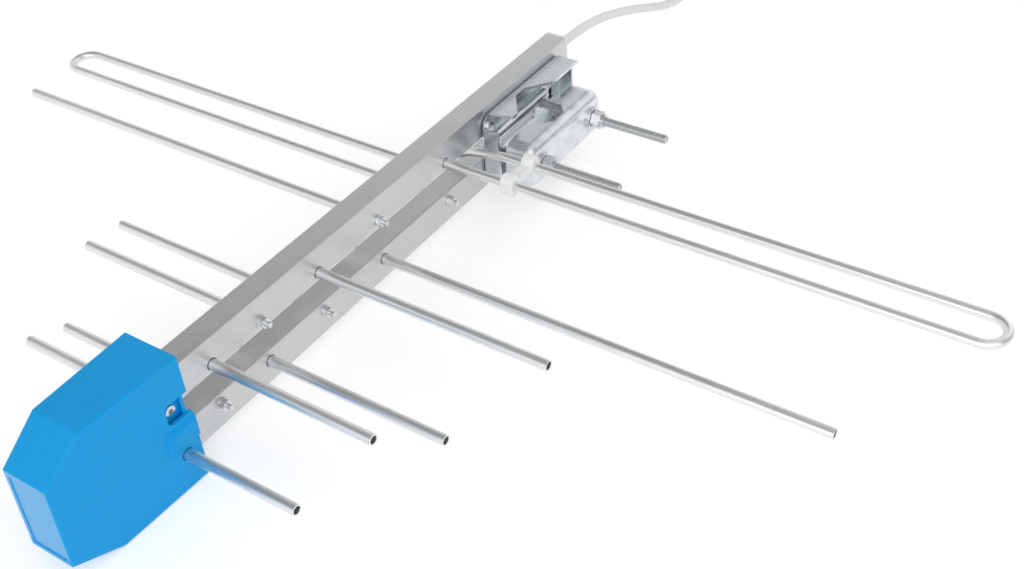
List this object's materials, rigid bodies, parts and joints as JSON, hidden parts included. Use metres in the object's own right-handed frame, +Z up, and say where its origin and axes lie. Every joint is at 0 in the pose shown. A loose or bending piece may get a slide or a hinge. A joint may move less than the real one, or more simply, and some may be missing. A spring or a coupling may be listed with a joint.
{
  "type": "amplified tv antenna",
  "caption": "Directional television antenna with twin square booms, paired rod elements, a folded loop, an amplifier housing and a toothed mast clamp with coaxial cable",
  "frame": {"origin": "midway along the booms and between the elements' ends, on the surface that the underside of the housing rests on", "axes": "+X to the right, along the right-hand elements and the clamp's studs; +Y from the amplifier housing to the mast clamp, along the booms; +Z up, from the lower boom to the upper"},
  "size_m": [0.6636, 0.7932, 0.078],
  "materials": {
    "boom_aluminium": "satin extruded aluminium",
    "rod_aluminium": "drawn aluminium, slightly bright",
    "small_steel": "zinc-plated steel",
    "brass_parts": "turned brass",
    "clamp_zinc": "bluish zinc-plated pressed steel",
    "clamp_fixings": "bright zinc-plated steel",
    "housing_blue": "blue moulded plastic, satin",
    "clip_white": "white moulded plastic",
    "spacer_black": "black moulded plastic",
    "board_green": "lacquered circuit board",
    "shield_tin": "tinned sheet",
    "cable_white": "pale grey cable jacket",
    "plug_white": "white moulded plastic",
    "tie_black": "black flexible tie"
  },
  "bodies": {
    "antenna": {"amplifier_board": "board_green", "amplifier_housing": "housing_blue", "amplifier_shield": "shield_tin", "board_screws": "small_steel", "boom_plug_lower": "spacer_black", "boom_plug_upper": "spacer_black", "boom_spacer_front": "spacer_black", "boom_spacer_rear": "spacer_black", "bracket_rivets": "small_steel", "cable_bushing": "plug_white", "clamp_bracket": "clamp_zinc", "clamp_stud_front": "clamp_fixings", "clamp_stud_rear": "clamp_fixings", "coax_cable": "cable_white", "coax_coil": "cable_white", "coax_tail": "cable_white", "coil_tie": "tie_black", "element_inserts": "brass_parts", "element_left_1": "rod_aluminium", "element_left_2": "rod_aluminium", "element_left_3": "rod_aluminium", "element_left_4": "rod_aluminium", "element_left_5": "rod_aluminium", "element_nuts": "small_steel", "element_right_1": "rod_aluminium", "element_right_2": "rod_aluminium", "element_right_3": "rod_aluminium", "element_right_4": "rod_aluminium", "element_right_5": "rod_aluminium", "element_screws": "small_steel", "element_studs": "small_steel", "element_washers": "small_steel", "feed_cable": "cable_white", "feed_core": "brass_parts", "folded_loop": "rod_aluminium", "housing_rear_cover": "housing_blue", "housing_screws": "small_steel", "loop_clip": "clip_white", "lower_boom": "boom_aluminium", "lower_boom_cap": "plug_white", "plug_body": "plug_white", "plug_pin": "brass_parts", "plug_shell": "shield_tin", "upper_boom": "boom_aluminium"},
    "clamp_jaw": {"clamp_jaw": "clamp_zinc", "clamp_washer_front": "clamp_fixings", "clamp_washer_rear": "clamp_fixings"},
    "front_nut": {"clamp_nut_front": "clamp_fixings"},
    "rear_nut": {"clamp_nut_rear": "clamp_fixings"}
  },
  "joints": [
    {"name": "jaw_slide", "type": "slide", "parent": "antenna", "child": "clamp_jaw", "axis": [1, 0, 0], "range_m": [0, 0.043]},
    {"name": "front_nut_turn", "type": "hinge", "parent": "clamp_jaw", "child": "front_nut", "pos_m": [0.0519, 0.129, 0.034], "axis": [1, 0, 0], "range_deg": [0, 15481]},
    {"name": "rear_nut_turn", "type": "hinge", "parent": "clamp_jaw", "child": "rear_nut", "pos_m": [0.0519, 0.187, 0.034], "axis": [1, 0, 0], "range_deg": [0, 15481]}
  ],
  "couplings": [
    {"joint": "front_nut_turn", "follows": "jaw_slide", "rad_per_m": 6283.2},
    {"joint": "rear_nut_turn", "follows": "jaw_slide", "rad_per_m": 6283.2}
  ]
}
